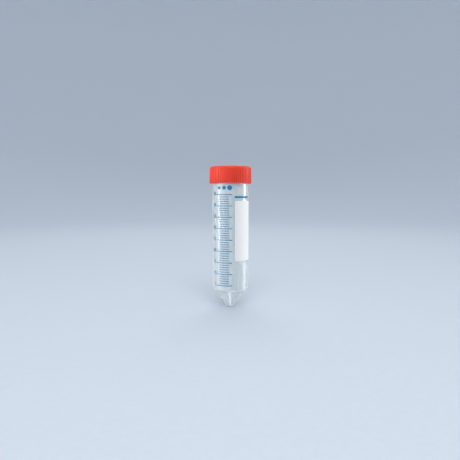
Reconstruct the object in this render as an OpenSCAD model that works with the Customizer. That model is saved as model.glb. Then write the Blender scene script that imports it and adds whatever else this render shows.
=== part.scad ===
// Conical-bottom laboratory tube with a ribbed screw cap, a sealing liner and a printed scale.
// The tip rests on the origin and the axis is +Z. The scale faces -Y. Sizes are millimetres.

/* [Whole tube] */
// Length from the tip to the top of the closed cap
overall_length = 115; // [113:0.5:117]
// Outside diameter of the barrel just under the cap
barrel_diameter = 29.7; // [29.4:0.1:30]
// Outside diameter at the foot of the barrel
foot_diameter = 29.3; // [29:0.1:29.6]

/* [Pointed end] */
// Height at which the shoulder ends and the barrel begins
foot_height = 16.5; // [16:0.1:17.5]
// Angle of the short shoulder from the axis
shoulder_angle = 54; // [50:1:58]
// Radius that rounds the barrel into the shoulder
shoulder_rounding = 2.2; // [1.5:0.1:2.6]
// Angle of the cone's side from the axis
cone_angle = 35; // [34:0.5:36]
// Diameter of the flat on the tip
tip_flat = 3.7; // [3.4:0.1:4.4]
// Radius of the tip's rounded edge
tip_rounding = 1.8; // [1.4:0.1:2]

/* [Walls] */
// Inside diameter of the neck and mouth
mouth_bore = 26.7; // [26.5:0.1:26.9]
// Inside diameter at the foot of the barrel
foot_bore = 26.2; // [25.8:0.1:26.4]
// Thickness of the tip's floor
tip_floor = 1.1; // [1:0.1:1.5]
// Wall of the cone, measured square to its side
cone_wall = 1; // [0.9:0.1:1.3]

/* [Screw thread] */
// Outside diameter of the neck between the threads
neck_diameter = 28.6; // [28.4:0.1:28.7]
// Height of the thread ridges above the neck
thread_height = 0.95; // [0.85:0.05:1]
// Distance from one ridge to the next along the axis
thread_pitch = 3.2; // [3.1:0.1:3.4]
// Number of thread starts around the neck
thread_starts = 2; // [2:1:2]
// Turns that each ridge makes on the neck
neck_thread_turns = 1.15; // [1:0.05:1.15]
// Turns that each ridge makes inside the cap
cap_thread_turns = 0.9; // [0.7:0.05:0.9]
// Radial gap between a ridge and the wall that it faces
thread_gap = 0.35; // [0.3:0.05:0.4]

/* [Cap] */
// Diameter over the ribs at the cap's lower edge
cap_diameter = 34.5; // [34.3:0.1:35]
// Height of the cap
cap_height = 13.7; // [13.6:0.1:14]
// Thickness of the cap's flat top
cap_top = 1.5; // [1.4:0.1:1.6]
// Radius that rounds the cap's upper edge
cap_rounding = 2.2; // [1.6:0.1:2.4]
// Number of grip ribs
rib_count = 66; // [60:1:80]
// Depth of the grooves between the ribs
rib_depth = 0.45; // [0.25:0.05:0.5]

/* [Sealing liner] */
// Thickness of the liner
liner_thickness = 0.9; // [0.8:0.05:0.9]
// Gap round the liner inside the cap
liner_gap = 0.25; // [0.2:0.05:0.3]

/* [Printing] */
// Thickness of the printed layers
ink = 0.06; // [0.05:0.01:0.1]
// Volume at the highest long line, in millilitres
scale_top = 45; // [30:5:45]
// Volume between long lines, in millilitres
scale_step = 5; // [5:5:10]
// Width of a long line
long_line_width = 0.6; // [0.3:0.05:0.7]
// Width of a short line
short_line_width = 0.48; // [0.2:0.02:0.6]
// Height of the numerals
numeral_height = 2.7; // [2:0.1:3]
// Height of the writing patch's lower edge
patch_bottom = 39.3; // [35:0.1:45]
// Height of the writing patch's upper edge
patch_top = 87.2; // [80:0.1:88]

/* [Hidden] */
$fn = 96;

// Barrel and neck
barrel_r = barrel_diameter / 2;
foot_r = foot_diameter / 2;
bore_r = mouth_bore / 2;
foot_bore_r = foot_bore / 2;
neck_r = neck_diameter / 2;
cap_bottom = overall_length - cap_height;
guide_top = cap_bottom - 0.4;
guide_bottom = guide_top - 7.1;
neck_step = 0.7;
rim_chamfer = 0.25;

// Thread
lead = thread_pitch * thread_starts;
neck_crest_r = neck_r + thread_height;
cap_bore_r = neck_crest_r + thread_gap;
cap_crest_r = neck_r + thread_gap;
ridge_foot = 1.7;
ridge_crest = 0.8;
ridge_root = 0.3;
// The cap's ridges lie just under the neck's, so that the neck's ridges pull the cap down
ridge_offset = 1.23;
neck_thread_bottom = cap_bottom + 2;
cap_thread_start = 95;
thread_step = 10;
thread_fade = 30;

// Cap and liner
cap_r = cap_diameter / 2;
cap_taper = 0.2;
cap_ceiling = overall_length - cap_top;
seal_gap = 0.05;
liner_r = cap_bore_r - liner_gap;
rim_top = cap_ceiling - liner_thickness - 2 * seal_gap;
bead_depth = 0.45;
bead_top = rim_top - 0.05;
bead_bottom = bead_top - 0.75;

// The ink stands this far off the barrel, so that the two solids never cross
ink_gap = 0.01;

// Printing: angles run round the tube from the front, positive towards +X
long_lines = [-48, 5];
short_lines = [-37.5, -4.5];
patch_span = [14, 124];
numeral_angle = -59.5;
numeral_rise = 0.95;
numeral_stroke = 0.4;
header_z = 97.6;
header_dots = [[-37.5, 1.2], [-20, 1.5], [-2.5, 1.9]];
header_bar_z = 90.2;
header_bar_height = 1.5;
header_bar_span = [13, 70];

// Points on an arc round a centre, from one angle to another
function arc(centre, r, from, to, steps = 8) = [
    for (i = [0 : steps])
        let (a = from + (to - from) * i / steps)
        centre + r * [cos(a), sin(a)]
];

// Height at which a line from point p, at angle a to the axis, meets a line from q at angle b
function meeting(p, a, q, b) =
    (q.x - p.x + p.y * tan(a) - q.y * tan(b)) / (tan(a) - tan(b));

// Half outline of a pointed end, from the axis up to the barrel's foot: [radius, height] points
function pointed_end(floor_z, flat_r, tip_round, side_r, side_z, side_round) =
    let (
        tip = arc([flat_r, floor_z + tip_round], tip_round, -90, -cone_angle),
        shoulder = arc([side_r - side_round, side_z], side_round, -shoulder_angle, 0),
        low = tip[len(tip) - 1],
        high = shoulder[0],
        z = meeting(low, cone_angle, high, shoulder_angle),
        r = low.x + (z - low.y) * tan(cone_angle)
    )
    concat([[0, floor_z]], tip, [[r, z]], shoulder);

// The hollow's tip is set so that the cone's wall has its stated thickness
hollow_tip_rounding = 1.2;
hollow_rounding = 1.4;
hollow_foot_height = foot_height - 0.6;
hollow_tip_flat =
    tip_flat / 2
    + tip_rounding * cos(cone_angle) - hollow_tip_rounding * cos(cone_angle)
    + (tip_floor + hollow_tip_rounding * (1 - sin(cone_angle))
       - tip_rounding * (1 - sin(cone_angle))) * tan(cone_angle)
    - cone_wall / cos(cone_angle);

outer_end = pointed_end(0, tip_flat / 2, tip_rounding, foot_r, foot_height, shoulder_rounding);
hollow_end = pointed_end(
    tip_floor, hollow_tip_flat, hollow_tip_rounding,
    foot_bore_r, hollow_foot_height, hollow_rounding
);
hollow = concat(hollow_end, [[bore_r, guide_bottom], [bore_r, rim_top]]);

// Volume of the hollow between two of its outline's points, as far up as height z
function slice_volume(a, b, z) =
    let (
        top = min(max(z, a.y), b.y),
        h = top - a.y,
        r = b.y > a.y ? a.x + (b.x - a.x) * h / (b.y - a.y) : a.x
    )
    PI * h * (a.x * a.x + a.x * r + r * r) / 3;

function total(v, i = 0) = i == len(v) ? 0 : v[i] + total(v, i + 1);

// Millilitres that the tube holds up to height z
function filled(z) =
    total([for (i = [0 : len(hollow) - 2]) slice_volume(hollow[i], hollow[i + 1], z)]) / 1000;

// Height of the liquid for a volume in millilitres, found by halving
function level(ml, low = 0, high = rim_top, tries = 20) =
    let (middle = (low + high) / 2)
    tries == 0 ? middle
    : filled(middle) < ml ? level(ml, middle, high, tries - 1)
    : level(ml, low, middle, tries - 1);

// Radius on which the ink lies at height z, just off the drafted barrel
function ink_r(z) =
    foot_r + (barrel_r - foot_r) * min((z - foot_height) / (guide_bottom - foot_height), 1)
    + ink_gap;

// One thread ridge: a wedge-shaped strip wound up the axis, thinning out at both ends
module ridge(inner_r, inner_w, outer_r, outer_w, root_r, z, from, turns) {
    steps = round(turns * 360 / thread_step);
    fade_steps = thread_fade / thread_step;
    sections = [
        for (i = [0 : steps])
            let (
                a = from + i * thread_step,
                rise = z + lead * a / 360,
                full = min(1, i / fade_steps, (steps - i) / fade_steps),
                // the crest sinks into the wall that carries it
                r1 = root_r > inner_r ? outer_r - (outer_r - inner_r) * max(full, 0.1) : inner_r,
                r2 = root_r > inner_r ? outer_r : inner_r + (outer_r - inner_r) * max(full, 0.1)
            )
            [
                [r1 * cos(a), r1 * sin(a), rise - inner_w / 2],
                [r2 * cos(a), r2 * sin(a), rise - outer_w / 2],
                [r2 * cos(a), r2 * sin(a), rise + outer_w / 2],
                [r1 * cos(a), r1 * sin(a), rise + inner_w / 2]
            ]
    ];
    sides = [
        for (i = [0 : steps - 1], k = [0 : 3], half = [0, 1])
            let (a = 4 * i + k, b = 4 * i + (k + 1) % 4)
            half == 0 ? [a, b, a + 4] : [b, b + 4, a + 4]
    ];
    last = 4 * steps;
    ends = [[0, 3, 2], [0, 2, 1], [last, last + 1, last + 2], [last, last + 2, last + 3]];
    polyhedron([for (s = sections) each s], concat(sides, ends), convexity = 8);
}

// The ridges of one thread, evenly spaced round the axis
module thread() {
    for (i = [0 : thread_starts - 1])
        rotate(i * 360 / thread_starts)
            children();
}

module tube() {
    color([0.86, 0.91, 0.93, 0.5])
    union() {
        rotate_extrude()
        polygon(concat(
            outer_end,
            [
                [barrel_r, guide_bottom],
                [barrel_r, guide_top],
                [neck_r, guide_top + neck_step],
                [neck_r, rim_top - rim_chamfer],
                [neck_r - rim_chamfer, rim_top],
                [bore_r + rim_chamfer, rim_top],
                [bore_r, rim_top - rim_chamfer],
                [bore_r, guide_bottom]
            ],
            [for (i = [len(hollow_end) - 1 : -1 : 0]) hollow_end[i]]
        ));
        thread()
            ridge(
                neck_r - ridge_root, ridge_foot, neck_crest_r, ridge_crest, neck_r - ridge_root,
                neck_thread_bottom, 0, neck_thread_turns
            );
    }
}

// A band of ink on the drafted barrel between two heights and two angles from the front
module ink_band(z1, z2, span) {
    rotate(span[0] - 90)
    rotate_extrude(angle = span[1] - span[0])
    polygon([
        [ink_r(z1), z1],
        [ink_r(z1) + ink, z1],
        [ink_r(z2) + ink, z2],
        [ink_r(z2), z2]
    ]);
}

// Lays flat shapes on the barrel as ink, centred at an angle from the front and a height
module ink_shape(angle, z) {
    intersection() {
        rotate_extrude()
        polygon([
            [ink_r(z - 3), z - 3],
            [ink_r(z - 3) + ink, z - 3],
            [ink_r(z + 3) + ink, z + 3],
            [ink_r(z + 3), z + 3]
        ]);
        rotate(angle)
        translate([0, -barrel_r / 2, z])
        rotate([90, 0, 0])
        linear_extrude(barrel_r)
        children();
    }
}

module writing_patch() {
    color([0.97, 0.97, 0.98])
    ink_band(patch_bottom, patch_top, patch_span);
}

module long_scale_lines() {
    color([0.16, 0.55, 0.74])
    for (ml = [scale_step : scale_step : scale_top])
        ink_band(level(ml) - long_line_width / 2, level(ml) + long_line_width / 2, long_lines);
}

module short_scale_lines() {
    color([0.35, 0.62, 0.8])
    for (ml = [scale_step : scale_top])
        if (ml % scale_step != 0)
            ink_band(
                level(ml) - short_line_width / 2, level(ml) + short_line_width / 2, short_lines
            );
}

// The strokes that draw each figure: three level ones from the top down, then the upper left,
// upper right, lower left and lower right uprights
FIGURES = [
    [1, 0, 1, 1, 1, 1, 1],
    [0, 0, 0, 0, 1, 0, 1],
    [1, 1, 1, 0, 1, 1, 0],
    [1, 1, 1, 0, 1, 0, 1],
    [0, 1, 0, 1, 1, 0, 1],
    [1, 1, 1, 1, 0, 0, 1]
];

module figure(value) {
    w = numeral_height * 0.6;
    half = numeral_height / 2;
    strokes = FIGURES[value];
    for (i = [0 : 2])
        if (strokes[i])
            translate([0, half * (1 - i)])
            square([w, numeral_stroke], center = true);
    for (i = [0 : 3])
        if (strokes[3 + i])
            translate([w / 2 * (i % 2 == 0 ? -1 : 1), half * (i < 2 ? 0.5 : -0.5)])
            square([numeral_stroke, half + numeral_stroke], center = true);
}

module scale_numerals() {
    figure_step = numeral_height * 0.9;
    color([0.16, 0.55, 0.74])
    for (ml = [scale_step : scale_step : scale_top])
        ink_shape(numeral_angle, level(ml) + numeral_rise) {
            tens = floor(ml / 10);
            if (tens > 0)
                translate([-figure_step / 2, 0])
                figure(tens);
            translate([figure_step / 2, 0])
            figure(ml % 10);
        }
}

module header_marks() {
    color([0.16, 0.55, 0.74]) {
        for (dot = header_dots)
            ink_shape(dot[0], header_z)
            circle(dot[1]);
        ink_band(
            header_bar_z - header_bar_height / 2, header_bar_z + header_bar_height / 2,
            header_bar_span
        );
    }
}

module sealing_liner() {
    color([0.93, 0.92, 0.88])
    translate([0, 0, rim_top + seal_gap])
    cylinder(r = liner_r, h = liner_thickness);
}

// Star-shaped outline of the ribbed skirt: blunt ribs with sloping sides
module rib_outline() {
    pitch = 360 / rib_count;
    groove_r = cap_r - rib_depth;
    polygon([
        for (i = [0 : rib_count - 1], corner = [[-0.32, 0], [-0.16, 1], [0.16, 1], [0.32, 0]])
            let (
                a = (i + corner[0]) * pitch,
                r = groove_r + rib_depth * corner[1]
            )
            r * [cos(a), sin(a)]
    ]);
}

module screw_cap() {
    entry = 0.4;
    edge_r = cap_r - cap_taper;
    color([0.9, 0.27, 0.2])
    union() {
        difference() {
            intersection() {
                translate([0, 0, cap_bottom])
                linear_extrude(cap_height)
                rib_outline();
                rotate_extrude()
                polygon(concat(
                    [[0, cap_bottom], [cap_r - 0.2, cap_bottom], [cap_r, cap_bottom + 0.2]],
                    arc(
                        [edge_r - cap_rounding, overall_length - cap_rounding],
                        cap_rounding, 0, 90
                    ),
                    [[0, overall_length]]
                ));
            }
            rotate_extrude()
            polygon([
                [0, cap_bottom - 1],
                [cap_bore_r + entry + 1, cap_bottom - 1],
                [cap_bore_r, cap_bottom + entry],
                [cap_bore_r, bead_bottom],
                [cap_bore_r - bead_depth, bead_bottom + 0.3],
                [cap_bore_r - bead_depth, bead_top - 0.25],
                [cap_bore_r, bead_top],
                [cap_bore_r, cap_ceiling],
                [0, cap_ceiling]
            ]);
        }
        thread()
            ridge(
                cap_crest_r, ridge_crest, cap_bore_r + ridge_root, ridge_foot,
                cap_bore_r + ridge_root,
                neck_thread_bottom - ridge_offset, cap_thread_start, cap_thread_turns
            );
    }
}

tube();
writing_patch();
long_scale_lines();
short_scale_lines();
scale_numerals();
header_marks();
sealing_liner();
screw_cap();
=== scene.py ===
import math

import bmesh
import bpy
import numpy as np
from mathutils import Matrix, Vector


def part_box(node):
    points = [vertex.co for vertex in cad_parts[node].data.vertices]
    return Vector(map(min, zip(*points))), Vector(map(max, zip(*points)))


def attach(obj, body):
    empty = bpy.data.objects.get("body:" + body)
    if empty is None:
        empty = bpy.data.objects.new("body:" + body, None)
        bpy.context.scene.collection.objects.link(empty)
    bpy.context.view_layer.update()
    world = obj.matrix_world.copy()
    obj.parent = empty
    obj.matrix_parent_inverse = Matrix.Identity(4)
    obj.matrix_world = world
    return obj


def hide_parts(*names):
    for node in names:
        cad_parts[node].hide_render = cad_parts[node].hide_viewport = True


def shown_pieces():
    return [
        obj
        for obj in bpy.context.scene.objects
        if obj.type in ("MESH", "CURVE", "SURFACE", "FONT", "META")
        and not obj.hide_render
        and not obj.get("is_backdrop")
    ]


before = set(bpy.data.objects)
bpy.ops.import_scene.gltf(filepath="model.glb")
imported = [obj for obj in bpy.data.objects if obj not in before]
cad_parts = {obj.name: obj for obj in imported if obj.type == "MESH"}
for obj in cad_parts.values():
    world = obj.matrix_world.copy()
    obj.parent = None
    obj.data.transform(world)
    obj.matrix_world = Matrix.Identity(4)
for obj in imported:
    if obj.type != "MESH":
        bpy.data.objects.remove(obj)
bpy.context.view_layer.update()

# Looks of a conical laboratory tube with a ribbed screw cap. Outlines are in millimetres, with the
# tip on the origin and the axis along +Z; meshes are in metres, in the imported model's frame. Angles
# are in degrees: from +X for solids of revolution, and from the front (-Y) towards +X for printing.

MM = 0.001


def node_span(node):
    """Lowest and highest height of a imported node, and its largest radius along X, in millimetres."""
    low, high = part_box(node)
    return low.z / MM, high.z / MM, high.x / MM


# ---------------------------------------------------------------- sizes, as in the CAD source
# The outside of the tube's pointed end and barrel
TIP_FLAT_R = 1.85
TIP_ROUNDING = 1.8
CONE_ANGLE = 35
SHOULDER_ANGLE = 54
SHOULDER_ROUNDING = 2.2
SHOULDER_CORNER = 0.5
FOOT_HEIGHT = 16.5
FOOT_R = 14.65
BARREL_R = 14.85

# The tube's hollow, whose tip is set so that the cone's wall is 1 mm thick
BORE_R = 13.35
FOOT_BORE_R = 13.1
TIP_FLOOR = 1.1
HOLLOW_TIP_FLAT_R = 1.712
HOLLOW_TIP_ROUNDING = 1.2
HOLLOW_ROUNDING = 1.4
HOLLOW_FOOT_HEIGHT = 15.9

# The neck and its rim
NECK_R = 14.3
NECK_STEP = 0.7
NECK_SOFTENING = 0.15
RIM_SOFTENING = 0.25

# The thread's ridges on the neck and inside the cap: the fade and the start are in degrees, and
# the offset is how far the cap's ridges lie below the neck's
LEAD = 6.4
STARTS = 2
RIDGE_FOOT = 1.7
RIDGE_CREST = 0.8
RIDGE_HEIGHT = 0.95
RIDGE_FADE = 30
NECK_TURNS = 1.15
CAP_TURNS = 0.9
CAP_THREAD_START = 95
RIDGE_OFFSET = 1.23

# The cap and the liner. The rim, the liner and the cap's ceiling are a seal's gap apart.
CAP_BOTTOM, CAP_TOP, CAP_R = node_span("screw_cap")
LINER_BOTTOM, LINER_TOP, LINER_R = node_span("sealing_liner")
SEAL_GAP = 0.05
CAP_TAPER = 0.2
CAP_ROUNDING = 2.2
CAP_WALL_R = 15.6
CAP_CEILING = LINER_TOP + SEAL_GAP
CEILING_SOFTENING = 0.1
RIBS = 66
RIB_DEPTH = 0.45
SKIRT_SOFTENING = 0.25
CAP_MOUTH_CHAMFER = 0.7
CAP_MOUTH_SOFTENING = 0.15
LINER_SOFTENING = 0.25

# The gate mark in the middle of the cap's top
GATE_R = 1.2
GATE_DEPTH = 0.2
GATE_SLOPE = 0.2
GATE_SOFTENING = 0.1

# The bead that holds the liner in the cap
RIM_TOP = LINER_BOTTOM - SEAL_GAP
BEAD_DEPTH = 0.45
BEAD_TOP = RIM_TOP - 0.05
BEAD_BOTTOM = BEAD_TOP - 0.75
BEAD_LOWER_SLOPE = 0.3
BEAD_UPPER_SLOPE = 0.25
BEAD_FOOT_SOFTENING = 0.05
BEAD_CREST_SOFTENING = 0.08

# Heights on the tube that follow from the cap's lower edge
GUIDE_TOP = CAP_BOTTOM - 0.4
GUIDE_BOTTOM = GUIDE_TOP - 7.1
NECK_THREAD_Z = CAP_BOTTOM + 2

# How far a rib reaches to each side, how much of that is its slope, and where the cap's columns
# stand on it, all as shares of the ribs' spacing
RIB_FOOT = 0.36
RIB_SIDE = 0.16
RIB_PHASES = np.array([-0.36, -0.31, -0.25, -0.20, 0, 0.20, 0.25, 0.31, 0.36])

# The printing
INK = 0.06
INK_GAP = 0.01
SCALE_STEP = 5
NUMERAL_ANGLE = -59.5
NUMERAL_RISE = 0.95
NUMERAL_HEIGHT = 2.7
PATCH_CORNER = 0.5
HEADER_Z = 97.6
# Each dot's angle and radius
HEADER_DOTS = ((-37.5, 1.2), (-20, 1.5), (-2.5, 1.9))
HEADER_BAR_Z = 90.2
HEADER_BAR_HEIGHT = 1.5
HEADER_BAR_CORNER = 0.3
HEADER_BAR_SPAN = (13, 70)

# How fine the meshes are: steps on a softened corner, the longest run and the run beside an edge,
# rows and columns on the threads, and how close two radii are when they count as the same
CORNER_STEPS = 5
LONGEST_RUN = 4.0
EDGE_RUN = 0.12
NECK_ROW = 0.12
CAP_ROW = 0.25
TUBE_COLUMNS = 192
LINER_COLUMNS = 144
SAME_R = 0.02


# ---------------------------------------------------------------- outlines
def arc(centre, r, start, stop, steps=10):
    """Points on an arc round a centre, from one angle to another."""
    angles = np.radians(np.linspace(start, stop, steps + 1))
    return [(centre[0] + r * math.cos(a), centre[1] + r * math.sin(a)) for a in angles]


def pointed_end(floor_z, flat_r, tip_round, side_r, side_z, side_round):
    """Outline of a conical end from the axis up to the foot of the barrel."""
    tip = arc((flat_r, floor_z + tip_round), tip_round, -90, -CONE_ANGLE)
    shoulder = arc((side_r - side_round, side_z), side_round, -SHOULDER_ANGLE, 0)
    cone = math.tan(math.radians(CONE_ANGLE))
    slope = math.tan(math.radians(SHOULDER_ANGLE))
    (low_r, low_z), (high_r, high_z) = tip[-1], shoulder[0]
    z = (high_r - low_r + low_z * cone - high_z * slope) / (cone - slope)
    corner = (low_r + (z - low_z) * cone, z, SHOULDER_CORNER)
    return [(0, floor_z)] + tip + [corner] + shoulder


def rounded(corners):
    """Outline through corners; a corner's third number says how far it is cut back and softened."""
    outline = []
    for i, corner in enumerate(corners):
        p = np.array(corner[:2], float)
        if len(corner) < 3:
            outline.append(tuple(p))
            continue
        before = np.array(corners[i - 1][:2]) - p
        after = np.array(corners[i + 1][:2]) - p
        a = p + before / np.linalg.norm(before) * corner[2]
        b = p + after / np.linalg.norm(after) * corner[2]
        for k in range(CORNER_STEPS + 1):
            t = k / CORNER_STEPS
            outline.append(tuple((1 - t) ** 2 * a + 2 * t * (1 - t) * p + t * t * b))
    return outline


def supported(outline):
    """The same outline with a point close to both ends of every long run, and more in between.

    They keep the smooth shading of a corner from spreading over the run."""
    long_run = 5 * EDGE_RUN
    result = [outline[0]]
    for a, b in zip(outline, outline[1:]):
        a, b = np.array(a), np.array(b)
        length = np.linalg.norm(b - a)
        shares = [1.0]
        if length > long_run:
            edge = EDGE_RUN / length
            count = max(2, math.ceil(length / LONGEST_RUN) + 1)
            shares = list(np.linspace(edge, 1 - edge, count)) + [1.0]
        result += [tuple(a + (b - a) * s) for s in shares]
    return result


def dense(outline, low, high, step, r):
    """The same outline with rows at most a step apart on its upright run at radius r between two heights."""
    result = [outline[0]]
    for a, b in zip(outline, outline[1:]):
        upright = abs(a[0] - r) < SAME_R and abs(b[0] - r) < SAME_R
        inside = low <= min(a[1], b[1]) and max(a[1], b[1]) <= high
        pieces = max(1, math.ceil(abs(b[1] - a[1]) / step)) if upright and inside else 1
        for k in range(1, pieces + 1):
            s = k / pieces
            result.append((a[0] + (b[0] - a[0]) * s, a[1] + (b[1] - a[1]) * s))
    return result


def smooth_step(x):
    """Rises from 0 to 1, levelling out at both ends."""
    x = np.clip(x, 0, 1)
    return x * x * (3 - 2 * x)


def ridge_height(z, angles, bottom, start, turns):
    """Height of the thread ridges above their wall at height z, for each angle in degrees."""
    total = turns * 360
    height = np.zeros(len(angles))
    for s in range(STARTS):
        for lap in range(3):
            wound = (angles - s * 360 / STARTS) % 360 + lap * 360
            along = wound - start
            off = np.abs(z - bottom - LEAD * wound / 360)
            side = smooth_step((RIDGE_FOOT / 2 - off) / ((RIDGE_FOOT - RIDGE_CREST) / 2))
            fade = smooth_step(np.minimum(along, total - along) / RIDGE_FADE)
            height = np.maximum(height, RIDGE_HEIGHT * side * fade)
    return height


# ---------------------------------------------------------------- meshes
def new_piece(name, bm, body, material, smooth=True):
    """Turns a mesh in millimetres into a piece of the object that rides on a body."""
    bmesh.ops.scale(bm, vec=(MM, MM, MM), verts=bm.verts[:])
    bmesh.ops.recalc_face_normals(bm, faces=bm.faces[:])
    for face in bm.faces:
        face.smooth = smooth
    mesh = bpy.data.meshes.new(name)
    bm.to_mesh(mesh)
    bm.free()
    piece = bpy.data.objects.new(name, mesh)
    bpy.context.scene.collection.objects.link(piece)
    mesh.materials.append(material)
    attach(piece, body)
    return piece


def lathe(outline, angles, radius=None):
    """Closed solid of revolution from pole to pole; radius, where given, makes a ring's radii differ.

    Each point remembers how far it is cut below the outline, from 0 to 1; the cap's material uses this to
    paint shade in the grooves."""
    bm = bmesh.new()
    cut = bm.verts.layers.float.new("cut")
    turn = np.radians(angles)
    rings = []
    for r, z in outline[1:-1]:
        radii = radius(r, z, angles) if radius else np.full(len(angles), r)
        ring = [bm.verts.new((q * math.cos(a), q * math.sin(a), z)) for q, a in zip(radii, turn)]
        for vert, q in zip(ring, radii):
            vert[cut] = min(max((r - q) / RIB_DEPTH, 0), 1)
        rings.append(ring)
    first = bm.verts.new((0, 0, outline[0][1]))
    last = bm.verts.new((0, 0, outline[-1][1]))
    count = len(angles)
    for k in range(count):
        n = (k + 1) % count
        bm.faces.new((first, rings[0][n], rings[0][k]))
        bm.faces.new((last, rings[-1][k], rings[-1][n]))
        for lower, upper in zip(rings, rings[1:]):
            bm.faces.new((lower[k], lower[n], upper[n], upper[k]))
    return bm


def tube_radius(r, z, angles):
    """The neck's wall carries the thread ridges; every other ring is round."""
    if abs(r - NECK_R) > SAME_R or z < GUIDE_TOP:
        return np.full(len(angles), r)
    return r + ridge_height(z, angles, NECK_THREAD_Z, 0, NECK_TURNS)


def cap_radius(r, z, angles):
    """The cap's outside is cut back between its ribs, and its inside carries the thread ridges."""
    if r > CAP_WALL_R + RIB_DEPTH:
        phase = np.abs((angles * RIBS / 360 + 0.5) % 1 - 0.5)
        crest = smooth_step((RIB_FOOT - phase) / RIB_SIDE)
        limit = CAP_R - RIB_DEPTH + RIB_DEPTH * crest
        return np.minimum(r, limit)
    if abs(r - CAP_WALL_R) < SAME_R and z < BEAD_BOTTOM:
        return r - ridge_height(z, angles, NECK_THREAD_Z - RIDGE_OFFSET, CAP_THREAD_START, CAP_TURNS)
    return np.full(len(angles), r)


def ink_r(z):
    """Radius on which the ink lies, just off the drafted barrel."""
    share = min((z - FOOT_HEIGHT) / (GUIDE_BOTTOM - FOOT_HEIGHT), 1)
    return FOOT_R + (BARREL_R - FOOT_R) * share + INK_GAP


def add_print(bm, flat, angle, z):
    """Adds a flat shape to a mesh as ink, wrapped on the barrel round an angle and a height."""
    cut_step = 0.45
    sliver = 0.004
    low = min(v.co.x for v in flat.verts)
    high = max(v.co.x for v in flat.verts)
    for k in range(1, math.ceil((high - low) / cut_step)):
        geometry = flat.verts[:] + flat.edges[:] + flat.faces[:]
        bmesh.ops.bisect_plane(flat, geom=geometry, plane_co=(low + k * cut_step, 0, 0), plane_no=(1, 0, 0))
    bmesh.ops.remove_doubles(flat, verts=flat.verts[:], dist=sliver)
    inner_faces = flat.faces[:]
    border = [edge.verts[:] for edge in flat.edges if len(edge.link_faces) == 1]
    outer = {v: flat.verts.new((v.co.x, v.co.y, INK)) for v in flat.verts[:]}
    for face in inner_faces:
        flat.faces.new([outer[v] for v in face.verts])
    for start, stop in border:
        flat.faces.new((start, stop, outer[stop], outer[start]))
    for v in flat.verts:
        height = z + v.co.y
        r = ink_r(height) + v.co.z
        a = math.radians(angle - 90) + v.co.x / r
        v.co = (r * math.cos(a), r * math.sin(a), height)
    scratch = bpy.data.meshes.new("scratch")
    flat.to_mesh(scratch)
    flat.free()
    bm.from_mesh(scratch)
    bpy.data.meshes.remove(scratch)


def flat_outline(points):
    """Flat mesh of one closed outline."""
    flat = bmesh.new()
    flat.faces.new([flat.verts.new((x, y, 0)) for x, y in points])
    return flat


def flat_box(width, height, corner=0.0):
    """Flat rectangle round the middle, with rounded corners where a radius is given."""
    steps = 4
    x, y = width / 2 - corner, height / 2 - corner
    if corner == 0:
        return flat_outline([(-x, -y), (x, -y), (x, y), (-x, y)])
    points = []
    for cx, cy, start in ((x, -y, -90), (x, y, 0), (-x, y, 90), (-x, -y, 180)):
        points += arc((cx, cy), corner, start, start + 90, steps)
    return flat_outline(points)


def flat_number(value):
    """Flat mesh of a number, as high as the printed numerals, that ends a figure right of the middle."""
    font_size = 1
    weight = 0.02
    figure_width = 0.62
    merge_distance = 0.001
    flat_angle = 0.02
    curve = bpy.data.curves.new("number", "FONT")
    curve.body = str(value)
    curve.align_x = "RIGHT"
    curve.size = font_size
    curve.offset = weight
    text = bpy.data.objects.new("number", curve)
    bpy.context.scene.collection.objects.link(text)
    bpy.context.view_layer.update()
    mesh = text.to_mesh()
    flat = bmesh.new()
    flat.from_mesh(mesh)
    text.to_mesh_clear()
    bpy.data.objects.remove(text)
    bpy.data.curves.remove(curve)
    bmesh.ops.remove_doubles(flat, verts=flat.verts[:], dist=merge_distance)
    bmesh.ops.dissolve_limit(flat, angle_limit=flat_angle, verts=flat.verts[:], edges=flat.edges[:])
    low = min(v.co.y for v in flat.verts)
    high = max(v.co.y for v in flat.verts)
    scale = NUMERAL_HEIGHT / (high - low)
    for v in flat.verts:
        v.co = ((v.co.x + figure_width) * scale, (v.co.y - (low + high) / 2) * scale, 0)
    return flat


def bands(node):
    """First and last angle, lowest and highest height of each printed band, from the bottom up."""
    band_gap = 1.0
    points = np.array([v.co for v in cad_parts[node].data.vertices]) / MM
    angles = np.degrees(np.arctan2(points[:, 1], points[:, 0])) + 90
    order = np.argsort(points[:, 2])
    heights = points[order, 2]
    breaks = np.nonzero(np.diff(heights) > band_gap)[0] + 1
    # the patch is one tall band, with no points between its upper and lower edge
    groups = [order] if node == "writing_patch" else np.split(order, breaks)
    found = []
    for group in groups:
        around, up = angles[group], points[group, 2]
        found.append((around.min(), around.max(), up.min(), up.max()))
    return found


def printed(node, corner=0.0):
    """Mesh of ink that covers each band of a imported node."""
    bm = bmesh.new()
    for start, stop, low, high in bands(node):
        middle = (low + high) / 2
        width = math.radians(stop - start) * ink_r(middle)
        add_print(bm, flat_box(width, high - low, corner), (start + stop) / 2, middle)
    return bm


# ---------------------------------------------------------------- materials
def new_material(name):
    """A new material, its node tree and its shader."""
    material = bpy.data.materials.new(name)
    material.use_nodes = True
    tree = material.node_tree
    return material, tree, tree.nodes["Principled BSDF"]


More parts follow.
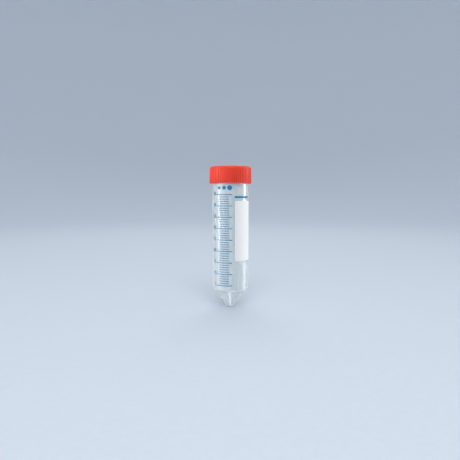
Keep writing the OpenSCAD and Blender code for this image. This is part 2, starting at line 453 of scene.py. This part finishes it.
def noise(tree, size, stretch=(1, 1, 1), detail=4.0, roughness=0.55, seed=0.0):
    """Noise from 0 to 1 whose features are about one size across, in metres, in the object's own space."""
    coord = tree.nodes.new("ShaderNodeTexCoord")
    mapping = tree.nodes.new("ShaderNodeMapping")
    mapping.inputs["Scale"].default_value = stretch
    mapping.inputs["Location"].default_value = (seed, seed, seed)
    texture = tree.nodes.new("ShaderNodeTexNoise")
    texture.inputs["Scale"].default_value = 1 / size
    texture.inputs["Detail"].default_value = detail
    texture.inputs["Roughness"].default_value = roughness
    tree.links.new(coord.outputs["Object"], mapping.inputs["Vector"])
    tree.links.new(mapping.outputs["Vector"], texture.inputs["Vector"])
    return texture.outputs["Fac"]


def spread(tree, factor, low, high):
    """Carries the middle of the noise's range over to a range of another value."""
    node = tree.nodes.new("ShaderNodeMapRange")
    node.inputs["From Min"].default_value = 0.3
    node.inputs["From Max"].default_value = 0.7
    node.inputs["To Min"].default_value = low
    node.inputs["To Max"].default_value = high
    tree.links.new(factor, node.inputs["Value"])
    return node.outputs["Result"]


def tint(tree, factor, colour_a, colour_b):
    """Mixes two colours by a value from 0 to 1."""
    node = tree.nodes.new("ShaderNodeMix")
    node.data_type = "RGBA"
    node.inputs["A"].default_value = (*colour_a, 1)
    node.inputs["B"].default_value = (*colour_b, 1)
    tree.links.new(factor, node.inputs["Factor"])
    return node.outputs["Result"]


def multiply(tree, colour_a, colour_b):
    """One colour darkened by another."""
    node = tree.nodes.new("ShaderNodeMix")
    node.data_type = "RGBA"
    node.blend_type = "MULTIPLY"
    node.inputs["Factor"].default_value = 1
    tree.links.new(colour_a, node.inputs["A"])
    tree.links.new(colour_b, node.inputs["B"])
    return node.outputs["Result"]


def add_bump(tree, shader, height, distance):
    """Fine relief from a value from 0 to 1, as deep as the distance in metres."""
    node = tree.nodes.new("ShaderNodeBump")
    node.inputs["Strength"].default_value = 1
    node.inputs["Distance"].default_value = distance
    tree.links.new(height, node.inputs["Height"])
    tree.links.new(node.outputs["Normal"], shader.inputs["Normal"])


def polypropylene():
    """Milky see-through plastic with faint flow lines up the wall and a polished outer skin."""
    material, tree, shader = new_material("polypropylene")
    flow = noise(tree, 0.004, stretch=(1, 1, 0.06), seed=3.1)
    cloud = noise(tree, 0.012, seed=8.4)
    colour = tint(tree, spread(tree, cloud, 0, 1), (0.82, 0.89, 0.915), (0.87, 0.925, 0.945))
    tree.links.new(colour, shader.inputs["Base Color"])
    shader.inputs["Roughness"].default_value = 0.26
    shader.inputs["Sheen Weight"].default_value = 0.35
    shader.inputs["Sheen Roughness"].default_value = 0.35
    shader.inputs["Transmission Weight"].default_value = 0.57
    shader.inputs["IOR"].default_value = 1.49
    shader.inputs["Coat Weight"].default_value = 0.8
    shader.inputs["Coat Roughness"].default_value = 0.1
    shader.inputs["Subsurface Weight"].default_value = 0.25
    shader.inputs["Subsurface Scale"].default_value = 0.006
    shader.inputs["Subsurface Radius"].default_value = (0.9, 1.0, 1.1)
    add_bump(tree, shader, flow, 0.00003)
    return material


def cap_plastic():
    """Moulded orange-red polyethylene with a satin skin, with painted shade darkening the colour down in the
    grooves.
    """
    material, tree, shader = new_material("cap_plastic")
    cloud = noise(tree, 0.006, seed=1.7)
    grain = noise(tree, 0.0004, detail=2.0, seed=5.2)
    colour = tint(tree, spread(tree, cloud, 0, 1), (0.73, 0.038, 0.012), (0.79, 0.052, 0.018))
    # Painted shade: the base colour is darkened by how deep each point is cut between the ribs.
    cut = tree.nodes.new("ShaderNodeAttribute")
    cut.attribute_name = "cut"
    painted_groove_shade = tint(tree, cut.outputs["Fac"], (1, 1, 1), (0.82, 0.68, 0.68))
    tree.links.new(multiply(tree, colour, painted_groove_shade), shader.inputs["Base Color"])
    tree.links.new(spread(tree, grain, 0.33, 0.43), shader.inputs["Roughness"])
    shader.inputs["IOR"].default_value = 1.5
    shader.inputs["Specular IOR Level"].default_value = 0.35
    shader.inputs["Subsurface Weight"].default_value = 0.08
    shader.inputs["Subsurface Scale"].default_value = 0.0006
    shader.inputs["Subsurface Radius"].default_value = (1.2, 0.4, 0.2)
    add_bump(tree, shader, grain, 0.00002)
    return material


def ink_layer(name, colour_a, colour_b, roughness):
    """Screen-printed ink: slightly uneven cover with a fine grain."""
    uneven = 0.06
    material, tree, shader = new_material(name)
    cover = noise(tree, 0.0007, detail=5.0, roughness=0.7, seed=2.3)
    grain = noise(tree, 0.00025, detail=2.0, seed=6.6)
    colour = tint(tree, spread(tree, cover, 0, 1), colour_a, colour_b)
    tree.links.new(colour, shader.inputs["Base Color"])
    softness = spread(tree, grain, roughness - uneven, roughness + uneven)
    tree.links.new(softness, shader.inputs["Roughness"])
    shader.inputs["IOR"].default_value = 1.45
    shader.inputs["Specular IOR Level"].default_value = 0.3
    add_bump(tree, shader, grain, 0.00001)
    return material


def liner_foam():
    """Soft pale sealing disc with a fine foam grain."""
    material, tree, shader = new_material("liner_foam")
    grain = noise(tree, 0.0005, detail=5.0, roughness=0.7, seed=4.9)
    colour = tint(tree, spread(tree, grain, 0, 1), (0.72, 0.70, 0.63), (0.82, 0.80, 0.74))
    tree.links.new(colour, shader.inputs["Base Color"])
    tree.links.new(spread(tree, grain, 0.5, 0.7), shader.inputs["Roughness"])
    shader.inputs["Subsurface Weight"].default_value = 0.2
    shader.inputs["Subsurface Scale"].default_value = 0.001
    shader.inputs["Subsurface Radius"].default_value = (1, 1, 1)
    add_bump(tree, shader, grain, 0.00004)
    return material


# ---------------------------------------------------------------- the tube
plastic = polypropylene()
outer = pointed_end(0, TIP_FLAT_R, TIP_ROUNDING, FOOT_R, FOOT_HEIGHT, SHOULDER_ROUNDING)
hollow = pointed_end(
    TIP_FLOOR, HOLLOW_TIP_FLAT_R, HOLLOW_TIP_ROUNDING,
    FOOT_BORE_R, HOLLOW_FOOT_HEIGHT, HOLLOW_ROUNDING
)
neck = [
    (BARREL_R, GUIDE_BOTTOM),
    (BARREL_R, GUIDE_TOP, NECK_SOFTENING),
    (NECK_R, GUIDE_TOP + NECK_STEP, NECK_SOFTENING),
    (NECK_R, RIM_TOP, RIM_SOFTENING),
    (BORE_R, RIM_TOP, RIM_SOFTENING),
    (BORE_R, GUIDE_BOTTOM),
]
tube_outline = supported(rounded(outer + neck + hollow[::-1]))
tube_outline = dense(tube_outline, GUIDE_TOP + NECK_STEP, RIM_TOP, NECK_ROW, NECK_R)
tube_columns = np.arange(0, 360, 360 / TUBE_COLUMNS)
tube = new_piece("tube_wall", lathe(tube_outline, tube_columns, tube_radius), "tube", plastic)
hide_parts("tube")

# ---------------------------------------------------------------- the printing
blue = ink_layer("blue_ink", (0.000, 0.145, 0.285), (0.004, 0.190, 0.340), 0.45)
white = ink_layer("white_ink", (0.71, 0.695, 0.68), (0.75, 0.735, 0.72), 0.62)
patch_mesh = printed("writing_patch", PATCH_CORNER)
patch = new_piece("patch_print", patch_mesh, "tube", white, smooth=False)
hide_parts("writing_patch")
long_mesh = printed("long_scale_lines")
long_lines = new_piece("long_line_print", long_mesh, "tube", blue, smooth=False)
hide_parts("long_scale_lines")
short_mesh = printed("short_scale_lines")
short_lines = new_piece("short_line_print", short_mesh, "tube", blue, smooth=False)
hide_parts("short_scale_lines")

numerals_mesh = bmesh.new()
for index, (_, _, low, high) in enumerate(bands("long_scale_lines")):
    number = flat_number(SCALE_STEP * (index + 1))
    add_print(numerals_mesh, number, NUMERAL_ANGLE, (low + high) / 2 + NUMERAL_RISE)
numerals = new_piece("numeral_print", numerals_mesh, "tube", blue, smooth=False)
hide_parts("scale_numerals")

header_mesh = bmesh.new()
for angle, r in HEADER_DOTS:
    circle = arc((0, 0), r, 0, 360, 40)[:-1]
    add_print(header_mesh, flat_outline(circle), angle, HEADER_Z)
bar_start, bar_stop = HEADER_BAR_SPAN
bar_width = math.radians(bar_stop - bar_start) * ink_r(HEADER_BAR_Z)
bar = flat_box(bar_width, HEADER_BAR_HEIGHT, HEADER_BAR_CORNER)
add_print(header_mesh, bar, (bar_start + bar_stop) / 2, HEADER_BAR_Z)
header = new_piece("header_print", header_mesh, "tube", blue, smooth=False)
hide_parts("header_marks")

# ---------------------------------------------------------------- the liner and the cap
liner_outline = supported(rounded([
    (0, LINER_BOTTOM),
    (LINER_R, LINER_BOTTOM, LINER_SOFTENING),
    (LINER_R, LINER_TOP, LINER_SOFTENING),
    (0, LINER_TOP),
]))
liner_columns = np.arange(0, 360, 360 / LINER_COLUMNS)
liner = new_piece("liner_disc", lathe(liner_outline, liner_columns), "liner", liner_foam())
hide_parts("sealing_liner")

shoulder_r = CAP_R - CAP_TAPER
cap_outline = rounded(
    [
        (0, CAP_TOP - GATE_DEPTH),
        (GATE_R - GATE_SLOPE, CAP_TOP - GATE_DEPTH, GATE_SOFTENING),
        (GATE_R, CAP_TOP, GATE_SOFTENING),
    ]
    + arc((shoulder_r - CAP_ROUNDING, CAP_TOP - CAP_ROUNDING), CAP_ROUNDING, 90, 0, 14)
    + [
        (CAP_R, CAP_BOTTOM, SKIRT_SOFTENING),
        (CAP_WALL_R + CAP_MOUTH_CHAMFER, CAP_BOTTOM, CAP_MOUTH_SOFTENING),
        (CAP_WALL_R, CAP_BOTTOM + CAP_MOUTH_CHAMFER, CAP_MOUTH_SOFTENING),
        (CAP_WALL_R, BEAD_BOTTOM, BEAD_FOOT_SOFTENING),
        (CAP_WALL_R - BEAD_DEPTH, BEAD_BOTTOM + BEAD_LOWER_SLOPE, BEAD_CREST_SOFTENING),
        (CAP_WALL_R - BEAD_DEPTH, BEAD_TOP - BEAD_UPPER_SLOPE, BEAD_CREST_SOFTENING),
        (CAP_WALL_R, BEAD_TOP, BEAD_FOOT_SOFTENING),
        (CAP_WALL_R, CAP_CEILING, CEILING_SOFTENING),
        (0, CAP_CEILING),
    ]
)
cap_outline = dense(supported(cap_outline), CAP_BOTTOM, BEAD_BOTTOM, CAP_ROW, CAP_WALL_R)
cap_columns = np.concatenate([(i + RIB_PHASES) * 360 / RIBS for i in range(RIBS)])
cap = new_piece("cap_shell", lathe(cap_outline, cap_columns, cap_radius), "cap", cap_plastic())
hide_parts("screw_cap")

# ---------------------------------------------------------------- the stage, the lights and the camera
# All in metres. The floor lies just under the tip.
FLOOR_Z = -0.0002
FLOOR_CENTRE_R = 0.2
BOWL_R = 2.6
BOWL_HEIGHT = 3.0
BOWL_COVE = 1.4
BOWL_COLUMN = 5


def backdrop():
    """A round floor that curves up into a wall on every side."""
    cove = arc((BOWL_R - BOWL_COVE, BOWL_COVE), BOWL_COVE, -90, 0, 16)
    outline = [(FLOOR_CENTRE_R, 0)] + cove + [(BOWL_R, BOWL_HEIGHT)]
    bm = bmesh.new()
    turn = np.radians(np.arange(0, 360, BOWL_COLUMN))
    centre = bm.verts.new((0, 0, FLOOR_Z))
    rings = []
    for r, z in outline:
        rings.append([bm.verts.new((r * math.cos(a), r * math.sin(a), z + FLOOR_Z)) for a in turn])
    for k in range(len(turn)):
        n = (k + 1) % len(turn)
        bm.faces.new((centre, rings[0][k], rings[0][n]))
        for lower, upper in zip(rings, rings[1:]):
            bm.faces.new((lower[k], upper[k], upper[n], lower[n]))
    for face in bm.faces:
        face.smooth = True
    mesh = bpy.data.meshes.new("backdrop")
    bm.to_mesh(mesh)
    bm.free()
    obj = bpy.data.objects.new("backdrop", mesh)
    bpy.context.scene.collection.objects.link(obj)
    material, tree, shader = new_material("studio_paper")
    fibre = noise(tree, 0.003, detail=6.0, seed=9.1)
    colour = tint(tree, spread(tree, fibre, 0, 1), (0.66, 0.715, 0.78), (0.68, 0.735, 0.80))
    tree.links.new(colour, shader.inputs["Base Color"])
    shader.inputs["Roughness"].default_value = 0.9
    mesh.materials.append(material)
    obj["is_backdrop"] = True


def area_light(name, place, aim_height, width, height, power, only=None):
    """Soft rectangular light turned to a height on the axis.

    A light that is only for a collection lights nothing else, and nothing else blocks it."""
    light = bpy.data.lights.new(name, "AREA")
    light.shape = "RECTANGLE"
    light.size = width
    light.size_y = height
    light.energy = power
    obj = bpy.data.objects.new(name, light)
    bpy.context.scene.collection.objects.link(obj)
    obj.location = place
    aim = Vector((0, 0, aim_height)) - Vector(place)
    obj.rotation_euler = aim.to_track_quat("-Z", "Y").to_euler()
    obj.visible_camera = False
    if only is not None:
        obj.light_linking.receiver_collection = only
        obj.light_linking.blocker_collection = only


backdrop()
object_pieces = bpy.data.collections.new("object_pieces")
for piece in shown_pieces():
    object_pieces.objects.link(piece)

# Each light's name, place, the height it is turned to, its width, height and power
area_light("strip_right", (0.443, 0.078, 0.05), 0.05, 0.10, 0.60, 1.7, object_pieces)
area_light("strip_left", (-0.435, -0.115, 0.10), 0.10, 0.09, 0.50, 0.95, object_pieces)
area_light("fill_left", (-0.375, -0.25, 0.12), 0.12, 0.34, 0.46, 0.56, object_pieces)
area_light("strip_under", (-0.018, -0.04, -0.30), 0, 0.022, 0.30, 0.36, object_pieces)
area_light("fill_front", (0.05, -0.9, 0.9), 0.06, 0.8, 0.6, 6.5)
area_light("fill_back", (0.0, 0.9, 1.2), 0.06, 1.0, 0.8, 4)

world = bpy.data.worlds.new("studio")
bpy.context.scene.world = world
world.use_nodes = True
background = world.node_tree.nodes["Background"]
background.inputs["Color"].default_value = (0.93, 0.96, 1.0, 1)
background.inputs["Strength"].default_value = 0.8
bpy.context.scene.view_settings.view_transform = "Standard"

# The camera stands in front of the scale, a little under the cap, and looks down by a few degrees
CAMERA_PLACE = (-0.00037, -0.3777, 0.0895)
CAMERA_DIP = 3.979
camera_data = bpy.data.cameras.new("camera")
camera_data.lens = 36
camera_data.sensor_width = 36
camera_data.clip_start = 0.01
camera = bpy.data.objects.new("camera", camera_data)
bpy.context.scene.collection.objects.link(camera)
camera.location = CAMERA_PLACE
camera.rotation_euler = (math.radians(90 - CAMERA_DIP), 0, 0)
bpy.context.scene.camera = camera
